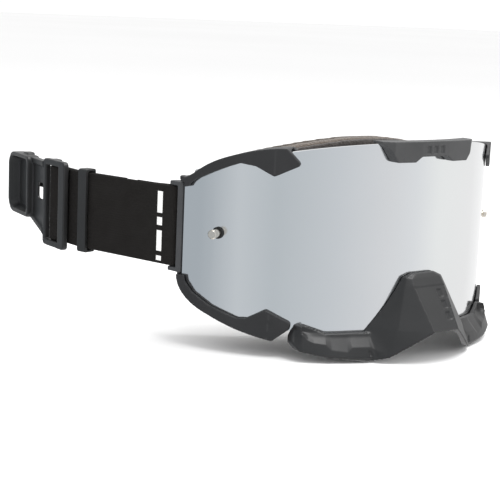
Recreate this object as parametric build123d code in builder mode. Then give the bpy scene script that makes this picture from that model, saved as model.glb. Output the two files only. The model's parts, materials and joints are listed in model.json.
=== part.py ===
from build123d import *
import math
import os

# Motorcycle goggles with a frameless cylindrical lens, a clipped-on nose guard,
# hinged outriggers and short elastic straps that end in hook buckles.
# Millimetres.  +X is the wearer's left, -Y is forwards, +Z is up.
# The origin is where the brow foam meets the forehead, level with the straps.

# ---------------------------------------------------------------- driving sizes

LENS_RADIUS = 100.0        # outer face of the outer pane
LENS_FRONT = 55.0          # lens apex ahead of the brow foam
LENS_HALF_ANGLE = 72.0     # from the apex to the lens's side edge
OUTER_PANE = 1.2
PANE_GAP = 4.0
INNER_PANE = 0.8
GLUE_LINE = 0.05           # between pieces that are bonded along a curved face
LENS_CLEARANCE = 0.35      # between the lens and the arms that hold it

FACE_RADIUS = 110.0        # curve of the foam against the face
FLEECE = 3.0
SOFT_FOAM = 8.0
DENSE_FOAM = 4.0
FLANGE = 2.0               # wall of the frame behind the foam
WALL = 2.6                 # wall of the frame's skirt
LENS_SEAT = 8.0            # width of the ledge that the lens rests on
SEAT_DEPTH = 2.9

PANE_OUTLINE = dict(half_width=96.5, top=47.0, side_low=-21.2, bottom=-47.0,
                    notch_half=30.0, notch_top=-20.0)
SKIRT_FRONT = dict(half_width=95.0, top=44.1, side_low=-20.0, bottom=-43.4,
                   notch_half=33.0, notch_top=-15.5)
SKIRT_BACK = dict(half_width=86.0, top=38.5, side_low=-19.0, bottom=-43.0,
                  notch_half=23.0, notch_top=-8.0)
FOAM_OUTLINE = dict(half_width=80.5, top=45.6, side_low=-18.0, bottom=-44.5,
                    notch_half=20.0, notch_top=-7.0, crown=1.7)
FOAM_WIDTH = 13.0

ARM_SKIN = 2.4             # how far the arms stand in front of the lens
ARM_INNER_RADIUS = 90.0
ARM_CENTRE = 56.0          # angle at which the arms' outlines are drawn

STRAP_WIDTH = 40.0
STRAP_THICKNESS = 1.6
STRAP_ANGLE = 14.5         # outwards from straight back
STRAP_START = (96.5, 17.3)  # outer face of the strap at the outrigger (x, y)
STRAP_JOIN = 68.5          # from there to where the strap's end piece starts
LAYER_GAP = 0.25

BRACKET_HALF_HEIGHT = 22.5
BRACKET_FLANGE = 2.1
HINGE = (90.8, 19.3)       # outrigger hinge axis (x, y)
PIN_RADIUS = 1.0
RUNNING_CLEARANCE = 0.05

KEEPER_START = 62.4
KEEPER_LENGTH = 6.0
KEEPER_HALF_HEIGHT = 21.9

PIVOT_ALONG = 94.5         # bar that the strap wraps round: distance along the strap
PIVOT_DEPTH = -7.25        # and outward of the strap's face
BUCKLE_ANGLE = -2.0        # of the loop, from straight back, inwards
HOOK_TURN = -6.0           # of the hook, further inwards than the loop
BUCKLE_HALF_HEIGHT = 23.5
PIVOT_RADIUS = 1.7

POST_ANGLE = 60.6          # tear-off posts, from the lens apex
NOSE_FRONT = 76.0          # foremost point of the nose guard

# ---------------------------------------------------------------- derived sizes

LENS_AXIS = (0, LENS_RADIUS - LENS_FRONT)
FACE_AXIS = (0, FACE_RADIUS)
OUTER_INSIDE = LENS_RADIUS - OUTER_PANE
INNER_OUTSIDE = OUTER_INSIDE - PANE_GAP
INNER_INSIDE = INNER_OUTSIDE - INNER_PANE
FOAM_STACK = FLEECE + SOFT_FOAM + DENSE_FOAM
ARM_OUTSIDE = LENS_RADIUS + ARM_SKIN
FAR = 300.0
FRONT_PLANE = 90.0         # ahead of everything
SKIRT_BACK_AT = 45.0       # where the back outline of the skirt's taper lies


# ---------------------------------------------------------------- shared shapes

def goggle_outline(half_width, top, side_low, bottom, notch_half, notch_top, crown=0.0, inset=0.0):
    """Front view of the goggles: a long brow arc, round corners and a notch for the nose.

    A crown lets the arc fall away that much further on both sides of its middle.
    """
    side = half_width - inset
    brow = top - inset
    low = side_low + inset / 2
    floor = bottom + inset
    notch = notch_half + inset
    bridge = notch_top + inset
    corner_drop = 36.0
    with BuildSketch() as outline:
        with BuildLine():
            Spline((0, brow), (0.575 * side, brow - crown - 3.7), (0.79 * side, brow - crown - 9.3),
                   (0.92 * side, brow - crown - 16.5), (side, brow - corner_drop),
                   tangents=((1, 0), (0, -1)))
            Line((side, brow - corner_drop), (side, low))
            Spline((side, low), (0.965 * side, 0.54 * low + 0.46 * floor),
                   (0.88 * side, 0.27 * low + 0.73 * floor), (notch + 2, floor),
                   tangents=((0, -1), (-1, -0.08)))
            Spline((notch + 2, floor), (0.62 * notch + 2, 0.5 * floor + 0.5 * bridge),
                   (0, bridge), tangents=((-0.5, 1), (-1, 0)))
            mirror(about=Plane.YZ)
        make_face()
    return outline.sketch


def front_prism(outline):
    """The outline, as seen from the front, carried straight back through everything."""
    with BuildPart() as prism:
        with BuildSketch(Plane.XZ.offset(FRONT_PLANE)):
            add(outline)
        extrude(amount=-FAR)
    return prism.part


def upright_cylinder(centre, radius):
    """A tall solid cylinder about a vertical axis."""
    with BuildPart() as cylinder:
        with BuildSketch(Plane.XY.offset(-FAR / 2)):
            with Locations(centre):
                Circle(radius)
        extrude(amount=FAR)
    return cylinder.part


def wedge(half_angle):
    """Everything within an angle of the lens apex, as seen from the lens's axis."""
    spread = FAR * math.tan(math.radians(half_angle)) if half_angle < 89 else FAR
    with BuildPart() as sector:
        with BuildSketch(Plane.XY.offset(-FAR / 2)):
            with BuildLine():
                Polyline(LENS_AXIS, (spread, LENS_AXIS[1] - FAR),
                         (-spread, LENS_AXIS[1] - FAR), LENS_AXIS)
            make_face()
        extrude(amount=FAR)
    return sector.part


def lens_layer(inner_radius, outer_radius, half_angle, inset):
    """A curved plate of the lens: a cylinder wall trimmed to the goggles' outline."""
    with BuildPart() as layer:
        add(upright_cylinder(LENS_AXIS, outer_radius))
        add(upright_cylinder(LENS_AXIS, inner_radius), mode=Mode.SUBTRACT)
        add(wedge(half_angle), mode=Mode.INTERSECT)
        add(front_prism(goggle_outline(**PANE_OUTLINE, inset=inset)), mode=Mode.INTERSECT)
    return layer.part


def foam_layer(near_face, far_face, outline_inset):
    """One layer of the face foam: a ring between two curves that follow the face."""
    with BuildPart() as layer:
        add(front_prism(goggle_outline(**FOAM_OUTLINE, inset=outline_inset)))
        add(front_prism(goggle_outline(**FOAM_OUTLINE, inset=FOAM_WIDTH - outline_inset)),
            mode=Mode.SUBTRACT)
        add(upright_cylinder(FACE_AXIS, FACE_RADIUS + far_face), mode=Mode.INTERSECT)
        add(upright_cylinder(FACE_AXIS, FACE_RADIUS + near_face), mode=Mode.SUBTRACT)
        with BuildSketch(Plane.XZ.offset(-FACE_RADIUS)):
            Rectangle(FAR, FAR)
        extrude(amount=-FAR, mode=Mode.SUBTRACT)
    return layer.part


def skirt(inset):
    """The frame's skirt as a solid: it tapers from the lens back to the face."""
    with BuildPart() as taper:
        with BuildSketch(Plane.XZ.offset(LENS_FRONT)):
            add(goggle_outline(**SKIRT_FRONT, inset=inset))
        with BuildSketch(Plane.XZ.offset(-SKIRT_BACK_AT)):
            add(goggle_outline(**SKIRT_BACK, inset=inset))
        loft()
    return taper.part


def on_lens(angle, height, centre):
    """A point of the lens's face, given by angle and height, in a tangent plane's terms."""
    return (LENS_RADIUS * math.sin(math.radians(angle - centre)), height)


def tangent_plane(angle, radius=0.0):
    """An upright plane that faces outwards from the lens's axis at an angle (towards +X)."""
    turn = math.radians(angle)
    outward = Vector(math.sin(turn), -math.cos(turn), 0)
    along = Vector(math.cos(turn), math.sin(turn), 0)
    return Plane(origin=Vector(*LENS_AXIS, 0) + outward * radius, x_dir=along, z_dir=outward)


def strap_point(distance, outward):
    """A point beside the left strap: distance back from its start, outward of its face."""
    turn = math.radians(STRAP_ANGLE)
    x = STRAP_START[0] + distance * math.sin(turn) + outward * math.cos(turn)
    y = STRAP_START[1] + distance * math.cos(turn) - outward * math.sin(turn)
    return (x, y)


BUCKLE_PIVOT = strap_point(PIVOT_ALONG, PIVOT_DEPTH)


def buckle_point(distance, outward):
    """A point beside the left buckle: distance back from its pivot bar, outward of it."""
    turn = math.radians(BUCKLE_ANGLE)
    x = BUCKLE_PIVOT[0] + distance * math.sin(turn) + outward * math.cos(turn)
    y = BUCKLE_PIVOT[1] + distance * math.cos(turn) - outward * math.sin(turn)
    return (x, y)


def finish(shape, name):
    """Label one piece and write it."""
    shape.label = name
    export_step(shape, f"parts/{name}.step")


def both_sides(shape, name):
    """Write a piece for the wearer's left, and its mirror image for the right."""
    with BuildPart() as left:
        add(shape)
    finish(left.part, f"left_{name}")
    with BuildPart() as right:
        add(mirror(left.part, about=Plane.YZ, mode=Mode.PRIVATE))
    finish(right.part, f"right_{name}")


os.makedirs("parts", exist_ok=True)

# ---------------------------------------------------------------- lens

post_hole = 2.25
with BuildPart() as outer_lens:
    add(lens_layer(OUTER_INSIDE, LENS_RADIUS, LENS_HALF_ANGLE, 0))
    for side in (-1, 1):
        with BuildSketch(tangent_plane(side * POST_ANGLE, INNER_OUTSIDE)):
            Circle(post_hole)
        extrude(amount=3 * PANE_GAP, mode=Mode.SUBTRACT)
finish(outer_lens.part, "outer_lens")

with BuildPart() as inner_lens:
    add(lens_layer(INNER_INSIDE, INNER_OUTSIDE, LENS_HALF_ANGLE - 1, 1.0))
finish(inner_lens.part, "inner_lens")

spacer_inset = 2.0
spacer_width = 5.0
spacer_angle = LENS_HALF_ANGLE - 1.5
with BuildPart() as lens_spacer:
    add(lens_layer(INNER_OUTSIDE + GLUE_LINE, OUTER_INSIDE - GLUE_LINE, spacer_angle, spacer_inset))
    add(lens_layer(INNER_INSIDE, LENS_RADIUS, spacer_angle - 3, spacer_inset + spacer_width),
        mode=Mode.SUBTRACT)
finish(lens_spacer.part, "lens_spacer")

# ---------------------------------------------------------------- tear-off posts

grommet_radius = 2.9
grommet_face = 0.7
post_shaft = 1.3
post_shoulder = 2.0
post_head = 2.3
post_tip = 7.3
post_plane = tangent_plane(POST_ANGLE, LENS_RADIUS)
nut_radius = 3.4
nut_height = 1.6

with BuildPart() as grommet:
    with BuildSketch(post_plane.offset(0.12)):
        Circle(grommet_radius)
    extrude(amount=grommet_face)
    with BuildSketch(post_plane.offset(-OUTER_PANE)):
        Circle(post_hole - GLUE_LINE)
    extrude(amount=OUTER_PANE + 0.2)
    with BuildSketch(post_plane.offset(-OUTER_PANE)):
        Circle(post_shaft)
    extrude(amount=2 * OUTER_PANE, mode=Mode.SUBTRACT)
both_sides(grommet.part, "post_grommet")

with BuildPart() as post:
    with BuildSketch(Plane(origin=post_plane.origin, x_dir=post_plane.z_dir, z_dir=(0, 0, 1))):
        with BuildLine():
            Polyline((-OUTER_PANE - nut_height, 0), (-OUTER_PANE - nut_height, post_shaft),
                     (1.0, post_shaft), (1.0, post_shoulder), (2.9, post_shoulder),
                     (3.3, post_shaft), (4.7, post_shaft), (5.3, post_head),
                     (post_tip - 0.5, post_head), (post_tip, post_head - 0.5), (post_tip, 0),
                     (-OUTER_PANE - nut_height, 0))
        make_face()
    revolve(axis=Axis(post_plane.origin, post_plane.z_dir))
both_sides(post.part, "tear_off_post")

with BuildPart() as post_nut:
    with BuildSketch(post_plane.offset(-OUTER_PANE - 0.1)):
        RegularPolygon(nut_radius, 6)
        Circle(post_shaft, mode=Mode.SUBTRACT)
    extrude(amount=-nut_height)
both_sides(post_nut.part, "post_nut")

# ---------------------------------------------------------------- frame

top_vents = dict(angles=[8 * step for step in range(-4, 5)], radius=78.0, length=13.0)
bottom_vents = dict(angles=(-47, -39, 39, 47), radius=83.0, length=8.0)
vent_width = 7.0
vent_height = 28.0         # the slots cut the skirt's walls above and below this height

front_opening = goggle_outline(**SKIRT_FRONT, inset=LENS_SEAT)
face_opening = goggle_outline(**FOAM_OUTLINE, inset=FOAM_WIDTH)


def vent_slots(angles, radius, length, towards):
    """A row of slots through the skirt, upwards (towards 1) or downwards (towards -1)."""
    with BuildPart() as slots:
        with BuildSketch(Plane.XY.offset(towards * vent_height)):
            for angle in angles:
                turn = math.radians(angle)
                place = (radius * math.sin(turn), LENS_AXIS[1] - radius * math.cos(turn))
                with Locations(Location(place, angle)):
                    Rectangle(vent_width, length)
        extrude(amount=towards * vent_height)
    return slots.part


with BuildPart() as frame_cavity:
    add(skirt(WALL))
    add(upright_cylinder(LENS_AXIS, INNER_INSIDE - SEAT_DEPTH), mode=Mode.INTERSECT)
    add(upright_cylinder(FACE_AXIS, FACE_RADIUS + FOAM_STACK + FLANGE), mode=Mode.SUBTRACT)

with BuildPart() as seat_opening:
    add(front_prism(front_opening))
    add(upright_cylinder(FACE_AXIS, FACE_RADIUS + FOAM_STACK + FLANGE), mode=Mode.SUBTRACT)

with BuildPart() as frame:
    add(skirt(0))
    add(upright_cylinder(LENS_AXIS, INNER_INSIDE - GLUE_LINE), mode=Mode.INTERSECT)
    add(upright_cylinder(FACE_AXIS, FACE_RADIUS + FOAM_STACK), mode=Mode.SUBTRACT)
    add(frame_cavity.part, mode=Mode.SUBTRACT)
    add(seat_opening.part, mode=Mode.SUBTRACT)
    add(front_prism(face_opening), mode=Mode.SUBTRACT)
    add(vent_slots(**top_vents, towards=1), mode=Mode.SUBTRACT)
    add(vent_slots(**bottom_vents, towards=-1), mode=Mode.SUBTRACT)
finish(frame.part, "frame")

# ---------------------------------------------------------------- vent foam

vent_foam_lap = 2.0        # how far the foam reaches past the slots' ends
vent_foam_gap = 0.3
vent_foam_thickness = 2.4


def vent_foam(half_angle, inner_angle, vents, towards):
    """A strip of open foam inside the skirt, behind a row of vents."""
    reach = vents["length"] / 2 + vent_foam_lap
    with BuildPart() as strip:
        add(skirt(WALL + vent_foam_gap))
        add(skirt(WALL + vent_foam_gap + vent_foam_thickness), mode=Mode.SUBTRACT)
        add(upright_cylinder(LENS_AXIS, vents["radius"] + reach), mode=Mode.INTERSECT)
        add(upright_cylinder(LENS_AXIS, vents["radius"] - reach), mode=Mode.SUBTRACT)
        add(upright_cylinder(FACE_AXIS, FACE_RADIUS + FOAM_STACK + FLANGE + vent_foam_gap),
            mode=Mode.SUBTRACT)
        add(wedge(half_angle), mode=Mode.INTERSECT)
        if inner_angle:
            add(wedge(inner_angle), mode=Mode.SUBTRACT)
        with BuildSketch():
            Rectangle(FAR, FAR)
        extrude(amount=towards * FRONT_PLANE, mode=Mode.INTERSECT)
    return strip.part


finish(vent_foam(38, 0, top_vents, 1), "top_vent_foam")
finish(vent_foam(53, 34, bottom_vents, -1), "bottom_vent_foam")

# ---------------------------------------------------------------- face foam

finish(foam_layer(FLEECE + SOFT_FOAM, FOAM_STACK, 0.6), "dense_foam")
finish(foam_layer(FLEECE, FLEECE + SOFT_FOAM, 0.0), "soft_foam")
finish(foam_layer(0, FLEECE, 0.3), "fleece_layer")

# ---------------------------------------------------------------- arms

claw_round = 1.6
lug_radius = 3.2
lug_clearance = 0.35
lug_height = 2.2
lug_root = 4.4             # how far the lug spreads inwards to meet the arm behind the lens
lug_low = BRACKET_HALF_HEIGHT + lug_clearance

with BuildPart() as lens_pocket:
    add(upright_cylinder(LENS_AXIS, LENS_RADIUS + LENS_CLEARANCE))
    add(upright_cylinder(LENS_AXIS, INNER_INSIDE - LENS_CLEARANCE), mode=Mode.SUBTRACT)
    add(front_prism(goggle_outline(**PANE_OUTLINE, inset=-LENS_CLEARANCE)), mode=Mode.INTERSECT)
    add(wedge(LENS_HALF_ANGLE + 0.3), mode=Mode.INTERSECT)

with BuildPart() as skirt_space:
    add(skirt(-0.2))
    add(upright_cylinder(LENS_AXIS, INNER_INSIDE), mode=Mode.INTERSECT)


def arm(outer_edge, claw, inner_edge, lug_bottom):
    """One arm on the wearer's left: it grips the lens's edge and carries a hinge lug.

    The outline runs along the outer edge, round the claw that laps over the lens,
    and back along the inner edge; every point is an angle and a height on the lens.
    """
    outer_points = [on_lens(angle, height, ARM_CENTRE) for angle, height in outer_edge]
    claw_points = [on_lens(angle, height, ARM_CENTRE) for angle, height in claw]
    inner_points = [on_lens(angle, height, ARM_CENTRE) for angle, height in inner_edge]
    with BuildPart() as body:
        with BuildSketch(tangent_plane(ARM_CENTRE)):
            with BuildLine():
                Spline(*outer_points)
                FilletPolyline(outer_points[-1], *claw_points, inner_points[0], radius=claw_round)
                Polyline(*inner_points, outer_points[0])
            make_face()
        extrude(amount=ARM_OUTSIDE + 10)
        add(upright_cylinder(LENS_AXIS, ARM_OUTSIDE), mode=Mode.INTERSECT)
        add(upright_cylinder(LENS_AXIS, ARM_INNER_RADIUS), mode=Mode.SUBTRACT)
        with BuildSketch(Plane.XY.offset(lug_bottom)):
            with Locations(HINGE):
                Circle(lug_radius)
            with Locations((HINGE[0] - lug_root / 2, HINGE[1] - lug_radius)):
                Rectangle(2 * lug_radius + lug_root, 2 * lug_radius)
        extrude(amount=lug_height)
        add(lens_pocket.part, mode=Mode.SUBTRACT)
        add(skirt_space.part, mode=Mode.SUBTRACT)
        with BuildSketch(Plane.XY.offset(lug_bottom)):
            with Locations(HINGE):
                Circle(PIN_RADIUS)
        extrude(amount=lug_height, mode=Mode.SUBTRACT)
    return body.part


upper_arm = arm(
    outer_edge=[(73.4, 23.0), (72.2, 24.7), (69.6, 27.0), (67.4, 29.5), (63.1, 34.0), (56.7, 38.3),
                (50.5, 41.2), (44.8, 42.8), (41.6, 43.1)],
    claw=[(37.4, 35.5), (44.8, 29.4), (50.0, 33.8)],
    inner_edge=[(54.4, 34.8), (58.3, 32.4), (63.0, 29.0), (67.3, 25.6), (69.2, 23.3), (70.1, 21.2),
                (71.6, 20.6), (71.6, 23.0)],
    lug_bottom=lug_low)
both_sides(upper_arm, "upper_arm")

lower_arm = arm(
    outer_edge=[(73.6, -23.0), (72.9, -28.0), (70.2, -33.6), (62.0, -41.1), (54.3, -45.9), (43.6, -50.4)],
    claw=[(38.9, -44.0), (38.6, -40.8), (45.7, -35.2), (51.2, -40.2)],
    inner_edge=[(54.0, -40.4), (62.0, -36.0), (68.0, -30.5), (70.5, -26.0), (71.0, -23.0)],
    lug_bottom=-lug_low - lug_height)
both_sides(lower_arm, "lower_arm")

with BuildPart() as hinge_pin:
    with BuildSketch(Plane.XY.offset(-lug_low - lug_height)):
        with Locations(HINGE):
            Circle(PIN_RADIUS)
    extrude(amount=2 * (lug_low + lug_height))
both_sides(hinge_pin.part, "hinge_pin")

# ---------------------------------------------------------------- brow piece

brow_top = 48.0
brow_cover = 2.4           # how far the top reaches back over the lens
brow_outline = [(30.0, brow_top), (30.0, 46.8), (27.6, 45.4), (22.8, 38.0), (12.2, 38.0), (8.3, 40.7)]
brow_facets = [(8.8, -60.2), (25.0, -58.6), (30.4, -54.2)]   # the front's creases (x, y)

with BuildPart() as brow_piece:
    with BuildSketch(Plane.XZ):
        with BuildLine():
            Line((0, brow_top), brow_outline[0])
            FilletPolyline(*brow_outline, (0, brow_outline[-1][1]), radius=0.8)
            mirror(about=Plane.YZ)
        make_face()
    extrude(amount=FRONT_PLANE)
    with BuildSketch():
        with BuildLine():
            Polyline((0, brow_facets[0][1]), *brow_facets, (brow_facets[-1][0], 0), (0, 0))
            mirror(about=Plane.YZ)
        make_face()
    extrude(amount=FAR, mode=Mode.INTERSECT)
    add(upright_cylinder(LENS_AXIS, LENS_RADIUS - brow_cover), mode=Mode.SUBTRACT)
    add(lens_pocket.part, mode=Mode.SUBTRACT)
    add(skirt_space.part, mode=Mode.SUBTRACT)
finish(brow_piece.part, "brow_piece")

# ---------------------------------------------------------------- nose guard

guard_wall = 2.6
guard_top = -16.9
guard_shoulder = -18.8
panel_top = -22.1
panel_bottom = -42.6
lobe_bottom = -58.0
lobe_half = 30.3
lobe_bend = (26.5, -55.4)  # where the lower edge turns from the hood's slope into the wing
panel_half = 7.9
wing_half_angle = 38.0


def guard_section(height, front, middle, back, grow=0.0):
    """A level slice of the nose guard's hood; each corner is a half width and a depth."""
    with BuildSketch(Plane.XY.offset(height)) as section:
        with BuildLine():
            Polyline((0, front[1] + 1.2 * grow), (front[0] - grow / 2, front[1] + 1.2 * grow),
                     (middle[0] - grow, middle[1] + 0.6 * grow), (back[0] - grow, back[1]),
                     (0, back[1]))
            mirror(about=Plane.YZ)
        make_face()
    return section.sketch


top_slice = ((5.4, -57.8), (7.4, -56.8), (9.4, -49.0))
shoulder_slice = ((9.2, -59.4), (11.6, -57.6), (13.2, -49.0))
panel_slice = ((9.9, -61.4), (13.2, -58.4), (15.5, -49.0))
mouth_slice = ((panel_half, -NOSE_FRONT), (21.5, -64.5), (32.0, -47.0))
lobe_slice = ((6.0, -87.0), (lobe_half, -62.8), (44.0, -45.0))

with BuildPart() as hood:
    for height, corners in ((guard_top, top_slice), (guard_shoulder, shoulder_slice),
                            (panel_top, panel_slice), (panel_bottom, mouth_slice),
                            (lobe_bottom, lobe_slice)):
        add(guard_section(height, *corners))
    loft(ruled=True)

with BuildPart() as nose_space:
    for height, corners in ((guard_top - guard_wall, shoulder_slice), (panel_top, panel_slice),
                            (panel_bottom, mouth_slice), (lobe_bottom, lobe_slice)):
        add(guard_section(height, *corners, grow=guard_wall))
    loft(ruled=True)

with BuildPart() as wings:
    with BuildSketch(Plane.XZ.offset(-LENS_AXIS[1])):
        with BuildLine():
            Polyline((100.4, -41.0), (102.2, -41.0), (103.4, -46.6), (109.6, -55.4),
                     (108.4, -58.0), (106.6, -57.4), (101.6, -50.0), (94.6, -49.8),
                     (94.6, -47.6), (100.4, -47.6), (100.4, -41.0))
        make_face()
    revolve(axis=Axis((*LENS_AXIS, 0), (0, 0, 1)))
    add(wedge(wing_half_angle + 1.5), mode=Mode.INTERSECT)
    with BuildSketch(Plane.XZ):
        with BuildLine():
            Polyline((0, -44.8), (31.9, -44.8), (50.0, -45.2), (59.0, -41.6), (61.8, -41.6),
                     (65.2, -49.4), (63.7, -53.2), (52.5, -55.8), (lobe_half, lobe_bottom),
                     (0, lobe_bottom))
            mirror(about=Plane.YZ)
        make_face()
    extrude(amount=FRONT_PLANE, mode=Mode.INTERSECT)

clip_angle = 25.0
clip_width = 9.0
clip_back = 80.0           # radius from the lens's axis that the clips reach back to
clip_top = -46.4
clip_bottom = -48.6
barb_top = -44.0
barb_length = 3.0

with BuildPart() as nose_guard:
    add(hood.part)
    add(wings.part)
    add(nose_space.part, mode=Mode.SUBTRACT)
    with BuildSketch(Plane.XZ):
        with BuildLine():
            Polyline((0, panel_bottom), (panel_half, panel_bottom), lobe_bend,
                     (lobe_half + 4, lobe_bottom), (lobe_half + 4, 2 * lobe_bottom),
                     (0, 2 * lobe_bottom))
            mirror(about=Plane.YZ)
        make_face()
    extrude(amount=FAR, mode=Mode.SUBTRACT)
    add(lens_pocket.part, mode=Mode.SUBTRACT)
    add(skirt_space.part, mode=Mode.SUBTRACT)
    add(upright_cylinder(LENS_AXIS, ARM_INNER_RADIUS), mode=Mode.SUBTRACT)
    for side in (-1, 1):
        with BuildSketch(tangent_plane(side * clip_angle, clip_back)):
            with Locations((0, (clip_top + clip_bottom) / 2)):
                Rectangle(clip_width, clip_top - clip_bottom)
        extrude(amount=LENS_RADIUS - 4 - clip_back)
        with BuildSketch(tangent_plane(side * clip_angle, clip_back)):
            with Locations((0, (barb_top + clip_bottom) / 2)):
                Rectangle(clip_width, barb_top - clip_bottom)
        extrude(amount=barb_length)
finish(nose_guard.part, "nose_guard")

# ---------------------------------------------------------------- outriggers

front_bar = (-2.6, 0.9, 2.6)        # from, to, and thickness inwards
rear_bar = (5.0, -3.3)              # distance back, and inwards
rear_bar_radius = 1.5
knuckle_radius = 2.0
bar_half_height = BRACKET_HALF_HEIGHT - BRACKET_FLANGE

with BuildPart() as outrigger:
    with BuildSketch(Plane.XY.offset(-BRACKET_HALF_HEIGHT)):
        Polygon(strap_point(front_bar[0], 0), strap_point(front_bar[1], 0),
                strap_point(front_bar[1], -front_bar[2]), strap_point(front_bar[0], -front_bar[2]),
                align=None)
        with Locations(strap_point(*rear_bar)):
            Circle(rear_bar_radius)
    extrude(amount=2 * BRACKET_HALF_HEIGHT)
    for low in (-BRACKET_HALF_HEIGHT, bar_half_height):
        with BuildSketch(Plane.XY.offset(low)):
            Polygon(strap_point(front_bar[0], 0), strap_point(rear_bar[0] + 1.5, -0.6),
                    strap_point(rear_bar[0] + 1.5, -4.8),
                    strap_point(front_bar[0], -front_bar[2]), align=None)
            with Locations(HINGE):
                Circle(knuckle_radius)
            make_hull()
        extrude(amount=BRACKET_FLANGE)
    with BuildSketch(Plane.XY.offset(-BRACKET_HALF_HEIGHT)):
        with Locations(HINGE):
            Circle(PIN_RADIUS + RUNNING_CLEARANCE)
    extrude(amount=2 * BRACKET_HALF_HEIGHT, mode=Mode.SUBTRACT)
both_sides(outrigger.part, "outrigger")

# ---------------------------------------------------------------- straps

half_thickness = STRAP_THICKNESS / 2
outer_layer = -half_thickness
inner_layer = outer_layer - STRAP_THICKNESS - 0.1
wrap_radius = rear_bar_radius + 0.2 + half_thickness
tab_end = 30.0
tab_bend = 17.0
strap_half = STRAP_WIDTH / 2

with BuildPart() as strap:
    with BuildSketch(Plane.XY.offset(-strap_half)):
        with BuildLine():
            Polyline(strap_point(tab_end, inner_layer), strap_point(tab_bend, inner_layer),
                     strap_point(rear_bar[0], rear_bar[1] - wrap_radius))
            ThreePointArc(strap_point(rear_bar[0], rear_bar[1] - wrap_radius),
                          strap_point(rear_bar[0] - wrap_radius, rear_bar[1]),
                          strap_point(rear_bar[0], rear_bar[1] + wrap_radius))
            Line(strap_point(rear_bar[0], rear_bar[1] + wrap_radius),
                 strap_point(STRAP_JOIN - 0.1, outer_layer))
        trace(line_width=STRAP_THICKNESS)
    extrude(amount=STRAP_WIDTH)
both_sides(strap.part, "strap")

pivot_wrap = PIVOT_RADIUS + 0.15 + half_thickness
tail_start = 38.0
tail_bend = 69.3
tail_layer = outer_layer - STRAP_THICKNESS - LAYER_GAP - 0.05
bar_dip = [(78.6, -3.1), (85.6, -4.9)]   # where the strap dips under the buckle's front bar

with BuildPart() as strap_end:
    with BuildSketch(Plane.XY.offset(-strap_half)):
        with BuildLine():
            Polyline(strap_point(STRAP_JOIN, outer_layer), strap_point(STRAP_JOIN + 1, outer_layer),
                     *[strap_point(*point) for point in bar_dip],
                     strap_point(PIVOT_ALONG, PIVOT_DEPTH + pivot_wrap))
            ThreePointArc(strap_point(PIVOT_ALONG, PIVOT_DEPTH + pivot_wrap),
                          strap_point(PIVOT_ALONG + pivot_wrap, PIVOT_DEPTH),
                          strap_point(PIVOT_ALONG, PIVOT_DEPTH - pivot_wrap))
            Polyline(strap_point(PIVOT_ALONG, PIVOT_DEPTH - pivot_wrap),
                     strap_point(tail_bend, tail_layer), strap_point(tail_start, tail_layer))
        trace(line_width=STRAP_THICKNESS)
    extrude(amount=STRAP_WIDTH)
both_sides(strap_end.part, "strap_end")

# ---------------------------------------------------------------- keepers

keeper_outer = 2.2         # outward of the strap's face
keeper_inner = -5.2
window_outer = 0.35
window_inner = -4.0
window_half_height = strap_half + 0.5

keeper_plane = Plane(origin=(*strap_point(KEEPER_START, 0), 0),
                     x_dir=Vector(*strap_point(0, 1), 0) - Vector(*strap_point(0, 0), 0),
                     z_dir=Vector(*strap_point(1, 0), 0) - Vector(*strap_point(0, 0), 0))

with BuildPart() as keeper:
    with BuildSketch(keeper_plane):
        with Locations(((keeper_outer + keeper_inner) / 2, 0)):
            RectangleRounded(keeper_outer - keeper_inner, 2 * KEEPER_HALF_HEIGHT, 1.2)
        with Locations(((window_outer + window_inner) / 2, 0)):
            Rectangle(window_outer - window_inner, 2 * window_half_height, mode=Mode.SUBTRACT)
    extrude(amount=KEEPER_LENGTH)
both_sides(keeper.part, "keeper")

# ---------------------------------------------------------------- hook buckles

loop_front = -16.5         # distances back from the pivot bar
window_front = -9.9
window_back = 4.9
loop_back = 8.2
loop_face = 4.2            # outward of the pivot bar
bar_depth = 3.1
end_wall = 3.2
cheek_half = 3.2
hook_rise = 5.2            # the cup stands above the strap's centreline
cup_end = 49.5
cup_half = 17.0
cup_start = 17.0
cup_corners = (3.0, 8.0)   # near the loop, and at the far end
hook_plate = 1.8
hook_rib = 3.8             # thickness of the plate's edges
rib_width = 3.0
hook_slot = (5.9, 4.5, 10.0, 9.0)   # distance back, height, length and width
cup_rim = 2.0
cup_back = 2.6             # how far the cup's floor stands inwards
cup_lip = 4.4              # how far its rim stands outwards
cup_floor = 1.6
cup_taper = 22.0           # of the hollow's walls
cup_lug = (11.0, 6.0, 1.2)  # back from the cup's start, length, and height beyond its edge
claw_end = 35.5            # the claw behind the cup, which catches the helmet
claw_reach = 12.0
claw_wall = 3.4
claw_height = 13.0
claw_rise = 9.5            # of the claw's middle, above the strap's centreline
claw_throat = 6.0
claw_lip = 2.0

turn = math.radians(BUCKLE_ANGLE)
loop_plane = Plane(origin=(*buckle_point(0, loop_face), 0),
                   x_dir=(math.sin(turn), math.cos(turn), 0),
                   z_dir=(math.cos(turn), -math.sin(turn), 0))
turn = math.radians(BUCKLE_ANGLE + HOOK_TURN)
hook_plane = Plane(origin=(*buckle_point(loop_back - 0.3, loop_face - bar_depth / 2), 0),
                   x_dir=(math.sin(turn), math.cos(turn), 0),
                   z_dir=(math.cos(turn), -math.sin(turn), 0))


def cup_outline(inset):
    """The D-shaped finger cup: straight towards the loop, round at its far corners."""
    near, far = cup_corners
    with BuildSketch() as outline:
        with Locations(((cup_start + cup_end) / 2, hook_rise)):
            Rectangle(cup_end - cup_start - 2 * inset, 2 * (cup_half - inset))
        fillet(outline.vertices().sort_by(Axis.X)[:2], radius=near)
        fillet(outline.vertices().sort_by(Axis.X)[-2:], radius=far - inset)
    return outline.sketch


plate_corners = [(0, -18.0), (cup_start + 4, hook_rise - cup_half + 0.4),
                 (cup_start + 4, hook_rise + cup_half - 0.4), (0, 21.5)]

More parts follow.
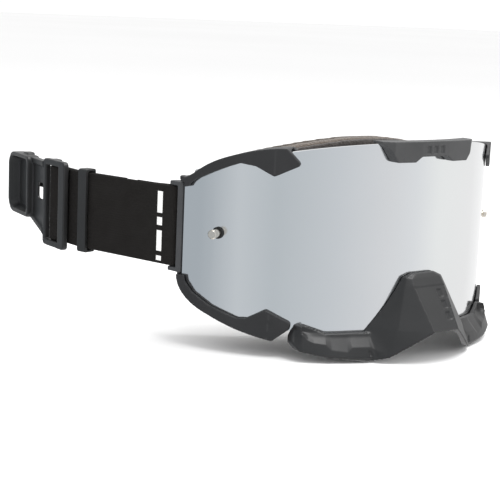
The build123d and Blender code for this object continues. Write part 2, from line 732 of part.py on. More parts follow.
with BuildPart() as hook_buckle:
    with BuildSketch(loop_plane):
        with Locations(((loop_front + loop_back) / 2, 0)):
            RectangleRounded(loop_back - loop_front, 2 * BUCKLE_HALF_HEIGHT, 2.5)
        with Locations(((window_front + window_back) / 2, 0)):
            Rectangle(window_back - window_front, 2 * (BUCKLE_HALF_HEIGHT - end_wall),
                      mode=Mode.SUBTRACT)
    extrude(amount=-bar_depth)
    with BuildSketch(loop_plane):
        for side in (-1, 1):
            with Locations((0, side * (BUCKLE_HALF_HEIGHT - end_wall / 2))):
                Rectangle(2 * cheek_half, end_wall)
    extrude(amount=-loop_face - PIVOT_RADIUS)
    with BuildSketch(Plane.XY.offset(-BUCKLE_HALF_HEIGHT + end_wall / 2)):
        with Locations(BUCKLE_PIVOT):
            Circle(PIVOT_RADIUS)
    extrude(amount=2 * BUCKLE_HALF_HEIGHT - end_wall)
    with BuildSketch(hook_plane):
        with BuildLine():
            Polyline(*plate_corners, plate_corners[0])
        make_face()
        with Locations(hook_slot[:2]):
            RectangleRounded(*hook_slot[2:], 2.0, mode=Mode.SUBTRACT)
    extrude(amount=hook_plate / 2, both=True)
    with BuildSketch(hook_plane):
        for start, end, side in (plate_corners[0], plate_corners[1], 1), \
                                (plate_corners[3], plate_corners[2], -1):
            with BuildLine():
                Polyline(start, end, (end[0], end[1] + side * rib_width),
                         (start[0], start[1] + side * rib_width), start)
            make_face()
    extrude(amount=hook_rib / 2, both=True)
    with BuildSketch(hook_plane.offset(-cup_back)):
        add(cup_outline(0))
    extrude(amount=cup_back + cup_lip)
    with BuildSketch(hook_plane.offset(-cup_back)):
        with Locations((cup_start + cup_lug[0], hook_rise)):
            Rectangle(cup_lug[1], 2 * (cup_half + cup_lug[2]))
    extrude(amount=cup_back + hook_rib / 2)
    with BuildSketch(hook_plane.offset(cup_lip)):
        add(cup_outline(cup_rim))
    extrude(amount=cup_floor - cup_back - cup_lip, taper=cup_taper, mode=Mode.SUBTRACT)
    with BuildSketch(hook_plane.offset(-cup_back)):
        with Locations((claw_end - claw_wall / 2, claw_rise)):
            Rectangle(claw_wall, claw_height)
    extrude(amount=-claw_throat - claw_lip)
    with BuildSketch(hook_plane.offset(-cup_back - claw_throat)):
        with Locations((claw_end - claw_reach / 2, claw_rise)):
            Rectangle(claw_reach, claw_height)
    extrude(amount=-claw_lip)
both_sides(hook_buckle.part, "hook_buckle")
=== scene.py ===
import json
import math

import bmesh
import bpy
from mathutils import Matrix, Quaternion, Vector


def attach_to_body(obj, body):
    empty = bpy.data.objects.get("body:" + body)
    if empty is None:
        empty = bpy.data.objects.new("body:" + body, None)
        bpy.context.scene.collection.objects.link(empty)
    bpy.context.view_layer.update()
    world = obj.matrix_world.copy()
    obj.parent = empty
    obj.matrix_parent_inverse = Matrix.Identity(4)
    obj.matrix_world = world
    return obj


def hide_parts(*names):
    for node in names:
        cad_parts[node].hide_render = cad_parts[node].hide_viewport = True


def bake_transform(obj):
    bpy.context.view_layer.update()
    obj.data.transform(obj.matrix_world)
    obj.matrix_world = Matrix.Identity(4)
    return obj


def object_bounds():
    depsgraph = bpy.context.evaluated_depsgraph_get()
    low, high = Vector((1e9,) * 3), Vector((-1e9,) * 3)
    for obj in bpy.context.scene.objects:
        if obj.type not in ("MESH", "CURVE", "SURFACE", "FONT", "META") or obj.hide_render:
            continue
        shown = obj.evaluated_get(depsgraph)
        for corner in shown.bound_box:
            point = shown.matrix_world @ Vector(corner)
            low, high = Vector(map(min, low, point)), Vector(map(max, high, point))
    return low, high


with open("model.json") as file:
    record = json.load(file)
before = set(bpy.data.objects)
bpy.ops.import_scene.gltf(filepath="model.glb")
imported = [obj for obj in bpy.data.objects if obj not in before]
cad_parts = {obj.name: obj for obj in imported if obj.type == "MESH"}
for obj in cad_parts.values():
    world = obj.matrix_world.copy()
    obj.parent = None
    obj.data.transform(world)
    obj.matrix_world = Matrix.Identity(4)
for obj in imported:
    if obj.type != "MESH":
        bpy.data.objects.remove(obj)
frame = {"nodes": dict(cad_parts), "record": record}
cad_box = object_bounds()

MM = 0.001
SIDES = (("left", 1), ("right", -1))
NODES = frame["nodes"]

# The camera stands at the wearer's right, a little above the goggles.
CAMERA_PLACE = Vector((-0.459, -0.527, 0.1067))
CAMERA_LOOK = Vector((0.590, 0.788, -0.1757))
CAMERA_ROLL = 2.5
CAMERA_LENS = 97.0

LENS_AXIS_Y = 45 * MM       # the lens is part of an upright cylinder about this line
WORLD_STRENGTH = 1.05


def make_camera():
    data = bpy.data.cameras.new("camera")
    data.lens = CAMERA_LENS
    camera = bpy.data.objects.new("camera", data)
    bpy.context.scene.collection.objects.link(camera)
    camera.location = CAMERA_PLACE
    camera.rotation_mode = "QUATERNION"
    roll = Quaternion((0, 0, 1), math.radians(CAMERA_ROLL))
    camera.rotation_quaternion = CAMERA_LOOK.to_track_quat("-Z", "Y") @ roll
    bpy.context.scene.camera = camera


# ------------------------------------------------------------------ materials

def new_material(name):
    """A new material, its node tree and its shader."""
    material = bpy.data.materials.new(name)
    material.use_nodes = True
    tree = material.node_tree
    return material, tree, tree.nodes["Principled BSDF"]


def node(tree, kind, **values):
    """A new node; each value goes to the socket of that name, or else to the attribute."""
    made = tree.nodes.new(kind)
    for key, value in values.items():
        if key in made.inputs:
            made.inputs[key].default_value = value
        else:
            setattr(made, key, value)
    return made


def ramp(tree, source, stops):
    """Colours looked up along a socket's value."""
    made = tree.nodes.new("ShaderNodeValToRGB")
    elements = made.color_ramp.elements
    while len(elements) < len(stops):
        elements.new(0.5)
    for element, (place, colour) in zip(elements, stops):
        element.position = place
        element.color = (*colour, 1)
    tree.links.new(source, made.inputs["Fac"])
    return made.outputs["Color"]


def bump(tree, shader, height, strength, distance):
    made = node(tree, "ShaderNodeBump", Strength=strength, Distance=distance)
    tree.links.new(height, made.inputs["Height"])
    tree.links.new(made.outputs["Normal"], shader.inputs["Normal"])


def shade(colour, factor):
    return tuple(min(1.0, channel * factor) for channel in colour)


def multiplied(tree, first, second):
    """Two colours multiplied together."""
    mix = node(tree, "ShaderNodeMix", data_type="RGBA", blend_type="MULTIPLY")
    mix.inputs["Factor"].default_value = 1.0
    tree.links.new(first, mix.inputs[6])
    tree.links.new(second, mix.inputs[7])
    return mix.outputs[2]


def cloudy_gloss(tree, shader, source, low, high):
    """Roughness that varies between two values."""
    gloss = node(tree, "ShaderNodeMapRange")
    gloss.inputs["To Min"].default_value = low
    gloss.inputs["To Max"].default_value = high
    tree.links.new(source, gloss.inputs["Value"])
    tree.links.new(gloss.outputs["Result"], shader.inputs["Roughness"])


def plastic(name, colour, roughness, grain=0.25):
    """Moulded plastic: a fine spark-eroded grain, cloudy gloss and lighter worn edges."""
    material, tree, shader = new_material(name)
    place = node(tree, "ShaderNodeTexCoord").outputs["Object"]
    fine = node(tree, "ShaderNodeTexNoise", Scale=2600.0, Detail=3.0)
    cloud = node(tree, "ShaderNodeTexNoise", Scale=45.0, Detail=4.0)
    tree.links.new(place, fine.inputs["Vector"])
    tree.links.new(place, cloud.inputs["Vector"])
    base = ramp(tree, cloud.outputs["Fac"], [(0.3, shade(colour, 0.86)), (0.7, shade(colour, 1.14))])
    edge = node(tree, "ShaderNodeNewGeometry").outputs["Pointiness"]
    worn = ramp(tree, edge, [(0.54, (0, 0, 0)), (0.66, (1, 1, 1))])
    mix = node(tree, "ShaderNodeMix", data_type="RGBA")
    tree.links.new(worn, mix.inputs["Factor"])
    tree.links.new(base, mix.inputs[6])
    mix.inputs[7].default_value = (*shade(colour, 1.35), 1)
    tree.links.new(mix.outputs[2], shader.inputs["Base Color"])
    cloudy_gloss(tree, shader, cloud.outputs["Fac"], roughness - 0.06, roughness + 0.06)
    bump(tree, shader, fine.outputs["Fac"], grain, 0.00012)
    return material


def foam(name, colour, scale, depth):
    """Soft foam or fleece: a short speckled nap."""
    material, tree, shader = new_material(name)
    place = node(tree, "ShaderNodeTexCoord").outputs["Object"]
    nap = node(tree, "ShaderNodeTexNoise", Scale=scale, Detail=5.0, Roughness=0.7)
    blot = node(tree, "ShaderNodeTexNoise", Scale=60.0, Detail=3.0)
    cells = node(tree, "ShaderNodeTexVoronoi", Scale=scale * 0.8)
    for texture in (nap, blot, cells):
        tree.links.new(place, texture.inputs["Vector"])
    speck = ramp(tree, nap.outputs["Fac"],
                 [(0.35, shade(colour, 0.55)), (0.5, colour), (0.68, shade(colour, 1.6))])
    blotch = ramp(tree, blot.outputs["Fac"], [(0.3, (0.8, 0.8, 0.8)), (0.7, (1.0, 1.0, 1.0))])
    tree.links.new(multiplied(tree, speck, blotch), shader.inputs["Base Color"])
    shader.inputs["Roughness"].default_value = 0.95
    shader.inputs["Sheen Weight"].default_value = 0.25
    shader.inputs["Sheen Roughness"].default_value = 0.5
    total = node(tree, "ShaderNodeMath", operation="ADD")
    tree.links.new(nap.outputs["Fac"], total.inputs[0])
    tree.links.new(cells.outputs["Distance"], total.inputs[1])
    bump(tree, shader, total.outputs["Value"], 0.8, depth)
    return material


# Plain bars printed across the webbing, in place of lettering, in millimetres: from where the ribbon
# starts, and heights. Every ribbon has them, on both faces.
PRINT_START = 38.6
PRINT_WIDTH = 3.4
PRINT_BARS = [(5.6, 16.4), (-0.6, 3.4), (-13.6, -3.2), (-18.4, -16.0)]
INK = (0.86, 0.86, 0.85, 1)


def webbing(name, colour):
    """Woven elastic: fine crossing threads on the strap's own length and width, and a plain printed mark."""
    material, tree, shader = new_material(name)
    place = node(tree, "ShaderNodeUVMap", uv_map="weave").outputs["UV"]
    warp = node(tree, "ShaderNodeTexWave", wave_type="BANDS", bands_direction="X", Scale=0.55, Distortion=0.8)
    weft = node(tree, "ShaderNodeTexWave", wave_type="BANDS", bands_direction="Y", Scale=0.75, Distortion=0.8)
    fuzz = node(tree, "ShaderNodeTexNoise", Scale=2.6, Detail=5.0, Roughness=0.7)
    patch = node(tree, "ShaderNodeTexNoise", Scale=0.12, Detail=3.0)
    for texture in (warp, weft, fuzz, patch):
        tree.links.new(place, texture.inputs["Vector"])
    product = node(tree, "ShaderNodeMath", operation="MULTIPLY")
    tree.links.new(warp.outputs["Fac"], product.inputs[0])
    tree.links.new(weft.outputs["Fac"], product.inputs[1])
    height = node(tree, "ShaderNodeMath", operation="MULTIPLY_ADD")
    tree.links.new(product.outputs["Value"], height.inputs[0])
    height.inputs[1].default_value = 0.45
    tree.links.new(fuzz.outputs["Fac"], height.inputs[2])
    base = ramp(tree, height.outputs["Value"],
                [(0.3, shade(colour, 0.5)), (0.6, colour), (0.95, shade(colour, 1.9))])
    wear = ramp(tree, patch.outputs["Fac"], [(0.3, (0.82, 0.80, 0.78)), (0.7, (1.0, 1.0, 1.0))])
    ink = node(tree, "ShaderNodeMix", data_type="RGBA")
    tree.links.new(printed(tree, place), ink.inputs["Factor"])
    tree.links.new(multiplied(tree, base, wear), ink.inputs[6])
    ink.inputs[7].default_value = INK
    tree.links.new(ink.outputs[2], shader.inputs["Base Color"])
    shader.inputs["Roughness"].default_value = 0.95
    shader.inputs["Specular IOR Level"].default_value = 0.2
    bump(tree, shader, height.outputs["Value"], 0.6, 0.0002)
    return material


def printed(tree, place):
    """1 inside the printed bars; the strap's UV is millimetres along and across it."""
    parts = node(tree, "ShaderNodeSeparateXYZ")
    tree.links.new(place, parts.inputs["Vector"])
    total = None
    for low, high in PRINT_BARS:
        bar = None
        for source, start, end in (("X", PRINT_START, PRINT_START + PRINT_WIDTH), ("Y", low, high)):
            for edge, operation in ((start, "GREATER_THAN"), (end, "LESS_THAN")):
                test = node(tree, "ShaderNodeMath", operation=operation)
                tree.links.new(parts.outputs[source], test.inputs[0])
                test.inputs[1].default_value = edge
                bar = joined(tree, bar, test.outputs["Value"], "MULTIPLY")
        total = joined(tree, total, bar, "MAXIMUM")
    return total


def joined(tree, first, second, operation):
    """The two sockets put together by a maths operation; the second alone if there's no first."""
    if first is None:
        return second
    made = node(tree, "ShaderNodeMath", operation=operation)
    tree.links.new(first, made.inputs[0])
    tree.links.new(second, made.inputs[1])
    return made.outputs["Value"]


def metal(name, colour, roughness):
    """Turned metal with faint marks."""
    material, tree, shader = new_material(name)
    place = node(tree, "ShaderNodeTexCoord").outputs["Object"]
    marks = node(tree, "ShaderNodeTexNoise", Scale=1800.0, Detail=2.0)
    tree.links.new(place, marks.inputs["Vector"])
    base = ramp(tree, marks.outputs["Fac"], [(0.35, shade(colour, 0.9)), (0.65, colour)])
    tree.links.new(base, shader.inputs["Base Color"])
    shader.inputs["Metallic"].default_value = 1.0
    cloudy_gloss(tree, shader, marks.outputs["Fac"], roughness - 0.05, roughness + 0.08)
    bump(tree, shader, marks.outputs["Fac"], 0.1, 0.00005)
    return material


def mirror_coat(name):
    """Silver mirror coating: nearly neutral, with the faint cloudiness of the metal film."""
    material, tree, shader = new_material(name)
    place = node(tree, "ShaderNodeTexCoord").outputs["Object"]
    cloud = node(tree, "ShaderNodeTexNoise", Scale=18.0, Detail=2.0)
    tree.links.new(place, cloud.inputs["Vector"])
    base = ramp(tree, cloud.outputs["Fac"], [(0.3, (0.89, 0.895, 0.90)), (0.7, (0.91, 0.915, 0.92))])
    tree.links.new(base, shader.inputs["Base Color"])
    shader.inputs["Metallic"].default_value = 1.0
    cloudy_gloss(tree, shader, cloud.outputs["Fac"], 0.10, 0.14)
    return material


def smoke_glass(name):
    """The clear inner pane, a little tinted."""
    material, tree, shader = new_material(name)
    place = node(tree, "ShaderNodeTexCoord").outputs["Object"]
    cloud = node(tree, "ShaderNodeTexNoise", Scale=25.0, Detail=2.0)
    tree.links.new(place, cloud.inputs["Vector"])
    base = ramp(tree, cloud.outputs["Fac"], [(0.3, (0.20, 0.21, 0.22)), (0.7, (0.24, 0.25, 0.26))])
    tree.links.new(base, shader.inputs["Base Color"])
    shader.inputs["Roughness"].default_value = 0.05
    shader.inputs["Coat Weight"].default_value = 0.5
    return material


LOOKS = {
    "frame_rubber": plastic("frame_rubber", (0.010, 0.010, 0.011), 0.62),
    "mirror_pane": mirror_coat("mirror_pane"),
    "clear_pane": smoke_glass("clear_pane"),
    "spacer": plastic("spacer", (0.006, 0.006, 0.006), 0.8),
    "vent_foam": foam("vent_foam", (0.035, 0.034, 0.033), 900.0, 0.0004),
    "dense_foam": foam("dense_foam", (0.045, 0.038, 0.034), 1300.0, 0.0003),
    "soft_foam": foam("soft_foam", (0.105, 0.083, 0.066), 1100.0, 0.0004),
    "fleece": foam("fleece", (0.095, 0.078, 0.064), 800.0, 0.0006),
    "arm_plastic": plastic("arm_plastic", (0.020, 0.0195, 0.0205), 0.52),
    "trim_plastic": plastic("trim_plastic", (0.046, 0.046, 0.047), 0.48),
    "guard_plastic": plastic("guard_plastic", (0.018, 0.018, 0.0185), 0.40),
    "bracket_plastic": plastic("bracket_plastic", (0.050, 0.051, 0.054), 0.5),
    "buckle_plastic": plastic("buckle_plastic", (0.018, 0.018, 0.0182), 0.44),
    "webbing": webbing("webbing", (0.0125, 0.0112, 0.0104)),
    "grommet_rubber": plastic("grommet_rubber", (0.012, 0.012, 0.012), 0.6),
    "post_metal": metal("post_metal", (0.86, 0.80, 0.72), 0.22),
    "pin_steel": metal("pin_steel", (0.60, 0.60, 0.61), 0.3),
}
NODE_SLOT = {part["node"]: part["material_slot"] for part in frame["record"]["subparts"]}


def dress_cad_nodes():
    """Every CAD node gets the finish of its own slot."""
    for name, thing in NODES.items():
        thing.data.materials.clear()
        thing.data.materials.append(LOOKS[NODE_SLOT[name]])


# ------------------------------------------------------------------ studio

FLOOR_DROP = 0.0005        # between the goggles' lowest point and the floor
FLOOR_SIZE = 30


def make_floor():
    low = cad_box[0].z - FLOOR_DROP
    bpy.ops.mesh.primitive_plane_add(size=FLOOR_SIZE, location=(0, 0, low))
    floor = bpy.context.object
    floor.name = "floor"
    material, tree, shader = new_material("floor")
    place = node(tree, "ShaderNodeTexCoord").outputs["Object"]
    cloud = node(tree, "ShaderNodeTexNoise", Scale=0.6)
    tree.links.new(place, cloud.inputs["Vector"])
    base = ramp(tree, cloud.outputs["Fac"], [(0.3, (0.90, 0.90, 0.90)), (0.7, (0.92, 0.92, 0.92))])
    tree.links.new(base, shader.inputs["Base Color"])
    shader.inputs["Roughness"].default_value = 0.9
    floor.data.materials.append(material)
    floor.visible_glossy = False


def make_world():
    """An even white studio."""
    world = bpy.data.worlds.new("studio")
    bpy.context.scene.world = world
    world.use_nodes = True
    background = world.node_tree.nodes["Background"]
    background.inputs["Color"].default_value = (1.0, 1.0, 1.0, 1)
    background.inputs["Strength"].default_value = WORLD_STRENGTH


# The lens mirrors a curved glowing screen whose colours are a painted reflection on the lens: azimuth from
# straight ahead, towards the wearer's left, and colour.
PAINTED_REFLECTION_STOPS = [
    (-104, (0.40, 0.44, 0.475)),
    (-84, (0.57, 0.605, 0.635)),
    (-64, (0.505, 0.545, 0.575)),
    (-25, (0.60, 0.63, 0.66)),
    (10, (0.70, 0.715, 0.735)),
    (34, (0.755, 0.775, 0.795)),
    (56, (0.86, 0.875, 0.87)),
    (92, (0.875, 0.875, 0.875)),
    (118, (1.0, 1.0, 1.0)),
]
SCREEN_RADIUS = 0.30
SCREEN_HEIGHT = 1.0
SCREEN_DROP = 0.45          # below the goggles, so that the lens mirrors nothing else
SCREEN_HALF_ANGLE = 150
SCREEN_STEP = 5


def make_screen():
    """A curved glowing screen round the front of the goggles, seen in gloss only: its colours are a painted
    reflection on the lens.
    """
    low = cad_box[0].z - SCREEN_DROP
    mesh = bpy.data.meshes.new("screen")
    bm = bmesh.new()
    rows = []
    for step in range(-SCREEN_HALF_ANGLE, SCREEN_HALF_ANGLE + 1, SCREEN_STEP):
        turn = math.radians(step)
        x, y = SCREEN_RADIUS * math.sin(turn), LENS_AXIS_Y - SCREEN_RADIUS * math.cos(turn)
        rows.append((bm.verts.new((x, y, low)), bm.verts.new((x, y, low + SCREEN_HEIGHT))))
    for (a, b), (c, d) in zip(rows, rows[1:]):
        bm.faces.new((a, c, d, b)).smooth = True
    bm.to_mesh(mesh)
    bm.free()
    screen = bpy.data.objects.new("screen", mesh)
    bpy.context.scene.collection.objects.link(screen)
    screen.visible_camera = False
    screen.visible_diffuse = False
    screen.visible_shadow = False
    screen.visible_transmission = False
    material, tree, shader = new_material("screen")
    place = node(tree, "ShaderNodeTexCoord").outputs["Object"]
    centred = node(tree, "ShaderNodeMapping")
    centred.inputs["Location"].default_value = (-LENS_AXIS_Y, 0, 0)
    centred.inputs["Rotation"].default_value = (0, 0, math.radians(90))
    tree.links.new(place, centred.inputs["Vector"])
    around = node(tree, "ShaderNodeTexGradient", gradient_type="RADIAL")
    tree.links.new(centred.outputs["Vector"], around.inputs["Vector"])
    stops = [(azimuth / 360 + 0.5, colour) for azimuth, colour in PAINTED_REFLECTION_STOPS]
    colours = ramp(tree, around.outputs["Fac"], stops)
    # The screen glows with the listed colours by azimuth: a painted reflection on the lens, not a lamp.
    glow = node(tree, "ShaderNodeEmission")
    tree.links.new(colours, glow.inputs["Color"])
    tree.links.new(glow.outputs["Emission"], tree.nodes["Material Output"].inputs["Surface"])
    mesh.materials.append(material)


def area_light(name, place, size, power):
    data = bpy.data.lights.new(name, "AREA")
    data.shape = "RECTANGLE"
    data.size, data.size_y = size
    data.energy = power
    light = bpy.data.objects.new(name, data)
    bpy.context.scene.collection.objects.link(light)
    light.location = place
    light.rotation_mode = "QUATERNION"
    light.rotation_quaternion = (-Vector(place)).to_track_quat("-Z", "Y")
    return light


def make_studio():
    bpy.context.scene.view_settings.view_transform = "Standard"
    make_floor()
    make_world()
    make_screen()
    area_light("top_light", (0.2, -0.3, 1.3), (1.0, 0.8), 16)
    fill = area_light("fill_light", (0.9, -0.8, 0.45), (0.5, 0.5), 5)
    fill.visible_glossy = False


# ------------------------------------------------------------------ rigid pieces

MOULD_SMOOTHING = 3

def copied(cad_name, name):
    """A new object with its own welded copy of a CAD node's mesh."""
    mesh = NODES[cad_name].data.copy()
    bm = bmesh.new()
    bm.from_mesh(mesh)
    bmesh.ops.remove_doubles(bm, verts=bm.verts, dist=0.002 * MM)
    bm.to_mesh(mesh)
    bm.free()
    mesh.name = name
    thing = bpy.data.objects.new(name, mesh)
    bpy.context.scene.collection.objects.link(thing)
    return thing


def settle(thing):
    """Turn the object's modifiers into its mesh."""
    depsgraph = bpy.context.evaluated_depsgraph_get()
    mesh = bpy.data.meshes.new_from_object(thing.evaluated_get(depsgraph), preserve_all_data_layers=True,
                                           depsgraph=depsgraph)
    thing.modifiers.clear()
    thing.data = mesh
    return mesh


def remeshed(thing, voxel, smoothing):
    """Rebuild the mesh from voxels and smooth it."""
    remesh = thing.modifiers.new("remesh", "REMESH")
    remesh.mode = "VOXEL"
    remesh.voxel_size = voxel
    settle(thing)
    smooth = thing.modifiers.new("smooth", "SMOOTH")
    smooth.factor = 0.5
    smooth.iterations = smoothing
    return settle(thing)


def shade_smooth(mesh):
    for face in mesh.polygons:
        face.use_smooth = True


def moulded(cad_name, voxel, relief=None):
    """The CAD piece with softly rounded moulded edges, and any shallow relief on its faces."""
    thing = copied(cad_name, cad_name + "_moulded")
    mesh = remeshed(thing, voxel, MOULD_SMOOTHING)
    if relief:
        moves = [relief(vertex.co / MM, vertex.normal) * MM for vertex in mesh.vertices]
        for vertex, move in zip(mesh.vertices, moves):
            vertex.co += move
    shade_smooth(mesh)
    return thing


def ramped(value, start, end):
    """0 before start, 1 after end, straight between them."""
    return min(1.0, max(0.0, (value - start) / (end - start)))


def inside(value, low, high, soft=0.3):
    """1 within a span, 0 outside it, with soft ends."""
    return ramped(value, low, low + soft) * (1 - ramped(value, high - soft, high))


# Upper edge of the raised panel on each wing of the nose guard: angle from the lens's apex, height in mm.
PANEL_EDGE = [(14.0, -53.1), (16.1, -52.5), (17.6, -50.9), (22.6, -50.9), (23.9, -53.0), (28.0, -52.1),
              (29.5, -49.6), (32.6, -48.9), (34.2, -47.7), (36.2, -44.0), (40.0, -42.6)]
PANEL_ENDS = ((14.0, 16.0), (35.6, 37.6))   # angles over which the panel rises and dies away
WING_RADIUS = 101.8         # the wings lie outside this
SLOPE_TOP = -44.6           # they slope outwards from here to the panel's edge, then drop steeply
WING_FOOT = -55.4
STEEPNESS = 0.36
BAR_DEPTH = 0.7
BROW_BARS = [(-5.8, -3.0), (-1.4, 1.4), (3.0, 5.8)]
BROW_BAR_HEIGHTS = (41.9, 45.9)
GUARD_BARS = [-26.0, -31.0, -36.0]
GUARD_BAR_SIDES = (3.8, 7.0)
GUARD_BAR_HALF = 1.8
BAND_TOP = -19
BAND_FOOT = -22.4           # the nose panel lies back below the hood's top band
PANEL_DEPTH = 0.5


def guard_relief(point, normal):
    """Stepped panels on the wings, a recessed nose panel and a plain row of marks beside it."""
    centred = Vector((point.x, point.y - LENS_AXIS_Y / MM, 0))
    angle = math.degrees(math.atan2(abs(centred.x), -centred.y))
    outward = centred.normalized()
    move = Vector((0, 0, 0))
    on_wing = centred.length > WING_RADIUS and normal.dot(outward) > 0.15
    if on_wing and PANEL_EDGE[0][0] < angle < PANEL_EDGE[-1][0]:
        for (a, high_a), (b, high_b) in zip(PANEL_EDGE, PANEL_EDGE[1:]):
            if a <= angle <= b:
                edge = high_a + (high_b - high_a) * (angle - a) / (b - a)
        if point.z < edge:
            depth = STEEPNESS * (max(point.z, WING_FOOT) - WING_FOOT)
        else:
            depth = STEEPNESS * (edge - WING_FOOT) * ramped(SLOPE_TOP - point.z, 0, SLOPE_TOP - edge)
        rise, fall = PANEL_ENDS
        move += outward * depth * ramped(angle, *rise) * (1 - ramped(angle, *fall))
    on_nose_panel = normal.y < -0.6 and normal.z > 0.2 and abs(normal.x) < 0.25
    if on_nose_panel and point.z < BAND_TOP:
        dent = PANEL_DEPTH * ramped(BAND_FOOT - point.z, 0.0, 0.5)
        for middle in GUARD_BARS:
            level = inside(point.z, middle - GUARD_BAR_HALF, middle + GUARD_BAR_HALF)
            dent += BAR_DEPTH * inside(point.x, *GUARD_BAR_SIDES) * level
        move -= normal * dent
    return move


def brow_relief(point, normal):
    """Three plain upright marks on the middle of the brow piece."""
    if normal.y > -0.7:
        return Vector((0, 0, 0))
    marks = sum(inside(point.x, low, high) for low, high in BROW_BARS)
    return normal * (-BAR_DEPTH * marks * inside(point.z, *BROW_BAR_HEIGHTS))


def attach(thing, body, slot_name, *cad_names):
    """Finish and carry one piece, and hide the CAD nodes it stands for."""
    thing.data.materials.clear()
    thing.data.materials.append(LOOKS[slot_name])
    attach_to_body(thing, body)
    if cad_names:
        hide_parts(*cad_names)
    return thing


BODY_OF = {name: body for body, names in frame["record"]["behaviour"]["bodies"].items() for name in names}
VOXELS = {"brow_piece": 0.34, "nose_guard": 0.45, "upper_arm": 0.4, "lower_arm": 0.42,
          "outrigger": 0.36, "keeper": 0.34, "hook_buckle": 0.42}
RELIEFS = {"brow_piece": brow_relief, "nose_guard": guard_relief}


def make_rigid_pieces():
    for kind, voxel in VOXELS.items():
        names = [kind] if kind in NODES else [f"{word}_{kind}" for word, side in SIDES]
        for name in names:
            attach(moulded(name, voxel * MM, RELIEFS.get(kind)), BODY_OF[name], NODE_SLOT[name], name)


# ------------------------------------------------------------------ foam

FOAM_SMOOTHING = 12
SIM_FRAMES = 14
PRESSURE = 4
# Voxel, how far the ring is shrunk first, and how far a point may move, in millimetres.
PADS = (("soft_foam", 1.4, 0.5, 0.9), ("fleece_layer", 0.95, 0.2, 0.4), ("dense_foam", 1.1, 0.2, 0.4))

def plumped(cad_name, voxel, shrink, cap):
    """A foam ring: remeshed, blown up a little as cloth, and smoothed."""
    thing = copied(cad_name, cad_name + "_pad")
    remeshed(thing, voxel, FOAM_SMOOTHING)
    shrunk = thing.modifiers.new("shrink", "DISPLACE")
    shrunk.strength = -shrink
    shrunk.mid_level = 0
    mesh = settle(thing)
    rest = [vertex.co.copy() for vertex in mesh.vertices]
    blow_up(thing)
    mesh = thing.data
    for vertex, start in zip(mesh.vertices, rest):
        move = vertex.co - start
        if move.length > cap:
            vertex.co = start + move * (cap / move.length)
    shade_smooth(mesh)
    thing.modifiers.new("fine", "SUBSURF").levels = 1
    thing.modifiers["fine"].render_levels = 1
    return thing


def blow_up(thing):
    """Inflate a closed mesh as cloth for a few frames and keep the result."""
    scene = bpy.context.scene
    cloth = thing.modifiers.new("cloth", "CLOTH")
    cloth.settings.use_pressure = True
    cloth.settings.uniform_pressure_force = PRESSURE
    cloth.settings.quality = 6
    cloth.settings.mass = 0.2
    cloth.settings.tension_stiffness = 40
    cloth.settings.compression_stiffness = 40
    cloth.settings.bending_stiffness = 5
    cloth.settings.effector_weights.gravity = 0
    for step in range(1, SIM_FRAMES + 1):
        scene.frame_set(step)
    settle(thing)
    scene.frame_set(1)



def make_foam():
    for name, voxel, shrink, cap in PADS:
        pad = plumped(name, voxel * MM, shrink * MM, cap * MM)
        attach(pad, "root", NODE_SLOT[name], name)


# ------------------------------------------------------------------ straps

STRAP_TURN = math.radians(14.5)
STRAP_START = Vector((96.5, 17.3)) * MM
STRAP_HALF = 20 * MM
STRAP_THICK = 1.6 * MM
BAR = (5.0, -3.3)           # outrigger's rear bar, along the strap and outwards, in millimetres
BAR_WRAP = 2.5
PIVOT = (94.5, -7.25)       # buckle's pivot bar
PIVOT_WRAP = 2.65
TAB = (30.0, 17.0)          # the folded tab's end and its bend, along the strap
DIP = [(78.6, -3.1), (85.6, -4.9)]   # where the strap end passes under the buckle's front bar
TAIL = (69.3, 38.0)         # the strap end's bend behind the keeper, and its end
JOIN = 68.4
JOIN_GAP = 0.1
RIBS = 32
POINTS_PER_RIB = 6
SELVEDGE = 0.12             # least thickness at the selvedge, as a share
RIB_DEPTH = 0.07 * MM


def strap_place(along, outward, side):
    """A point beside a strap, given in millimetres along it and outward of its face."""
    x = STRAP_START.x + MM * (along * math.sin(STRAP_TURN) + outward * math.cos(STRAP_TURN))
    y = STRAP_START.y + MM * (along * math.cos(STRAP_TURN) - outward * math.sin(STRAP_TURN))
    return Vector((side * x, y))


def arc(centre, radius, start, end, count=10):
    """Points round a bar; angles run from straight outward (90) towards the head."""
    points = []
    for step in range(count + 1):
        turn = math.radians(start + (end - start) * step / count)
        points.append((centre[0] + radius * math.cos(turn), centre[1] + radius * math.sin(turn)))
    return points


def eased(points, radius, step=0.8):
    """The polyline with its corners rounded and its runs divided into short steps."""
    points = [Vector(p) for p in points]
    path = [points[0]]
    for before, corner, after in zip(points, points[1:], points[2:]):
        reach = min(radius, (corner - before).length * 0.45, (after - corner).length * 0.45)
        start = corner + (before - corner).normalized() * reach
        end = corner + (after - corner).normalized() * reach
        for k in range(5):
            t = k / 4
            path.append(start * (1 - t) ** 2 + corner * (2 * t * (1 - t)) + end * t ** 2)
    path.append(points[-1])
    fine = [path[0]]
    for point in path[1:]:
        start = fine[-1]
        gap = (point - start).length
        if gap < 0.05:
            continue
        count = max(1, round(gap / step))
        fine += [start.lerp(point, k / count) for k in range(1, count + 1)]
    return fine


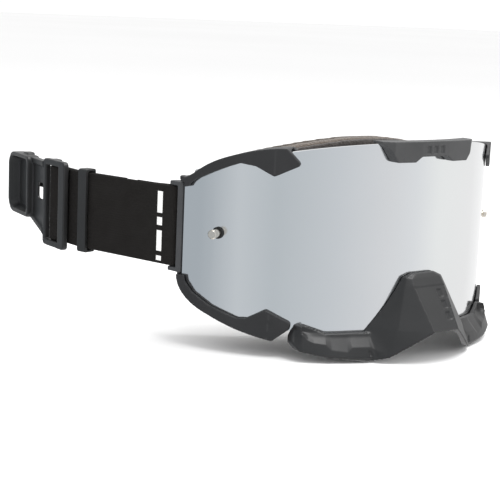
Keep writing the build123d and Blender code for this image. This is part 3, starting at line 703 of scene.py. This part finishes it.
def ribbon(name, path, side):
    """Woven strap: a flat ribbon with rounded selvedges and fine lengthwise ribs."""
    across = RIBS * POINTS_PER_RIB
    places = [strap_place(p.x, p.y, side) for p in path]
    length = [0.0]
    for a, b in zip(places, places[1:]):
        length.append(length[-1] + (b - a).length)
    rim = []
    for k in range(across + 1):
        z = -1 + 2 * k / across
        edge = min(1.0, (1 - abs(z)) * STRAP_HALF / (STRAP_THICK / 2))
        swell = math.sqrt(max(0.0, 1 - (1 - edge) ** 2))
        rib = RIB_DEPTH * (abs(math.sin(math.pi * RIBS * (z + 1) / 2)) - 1)
        rim.append((z * STRAP_HALF, (STRAP_THICK / 2 + rib) * max(SELVEDGE, swell)))
    section = [(z, half) for z, half in rim] + [(z, -half) for z, half in reversed(rim)]
    bm = bmesh.new()
    uv = bm.loops.layers.uv.new("weave")
    rows = []
    for i, place in enumerate(places):
        ahead = places[min(i + 1, len(places) - 1)] - places[max(i - 1, 0)]
        normal = Vector((ahead.y, -ahead.x)).normalized()
        rows.append([bm.verts.new((place.x + normal.x * half, place.y + normal.y * half, z))
                     for z, half in section])
    count = len(section)
    for i in range(len(rows) - 1):
        for k in range(count):
            n = (k + 1) % count
            face = bm.faces.new((rows[i][k], rows[i][n], rows[i + 1][n], rows[i + 1][k]))
            face.smooth = True
            corners = ((i, k), (i, n), (i + 1, n), (i + 1, k))
            for loop, (row, column) in zip(face.loops, corners):
                loop[uv].uv = (length[row] / MM, section[column][0] / MM)
    for row in (rows[0], rows[-1]):
        bm.faces.new(row)
    bmesh.ops.recalc_face_normals(bm, faces=bm.faces)
    mesh = bpy.data.meshes.new(name)
    bm.to_mesh(mesh)
    bm.free()
    thing = bpy.data.objects.new(name, mesh)
    bpy.context.scene.collection.objects.link(thing)
    return thing, length[-1]


def make_straps():
    half = STRAP_THICK / 2 / MM
    inner = -half - 2 * half - 0.1
    tail = -half - 2 * half - 0.3
    near = [(along, inner) for along in TAB] + arc(BAR, BAR_WRAP, 270, 90) + [(JOIN - JOIN_GAP, -half)]
    far = [(JOIN + JOIN_GAP, -half), (JOIN + 1.1, -half), *DIP]
    far += arc(PIVOT, PIVOT_WRAP, 90, -90) + [(along, tail) for along in TAIL]
    for word, side in SIDES:
        strap, length = ribbon(f"{word}_strap_webbing", eased(near, 2.0), side)
        strap.data.materials.append(LOOKS["webbing"])
        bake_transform(strap)
        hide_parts(f"{word}_strap")
        end, end_length = ribbon(f"{word}_strap_end_webbing", eased(far, 2.5), side)
        attach(end, f"{word}_strap_end", "webbing", f"{word}_strap_end")


make_camera()
make_studio()
dress_cad_nodes()
make_rigid_pieces()
make_foam()
make_straps()
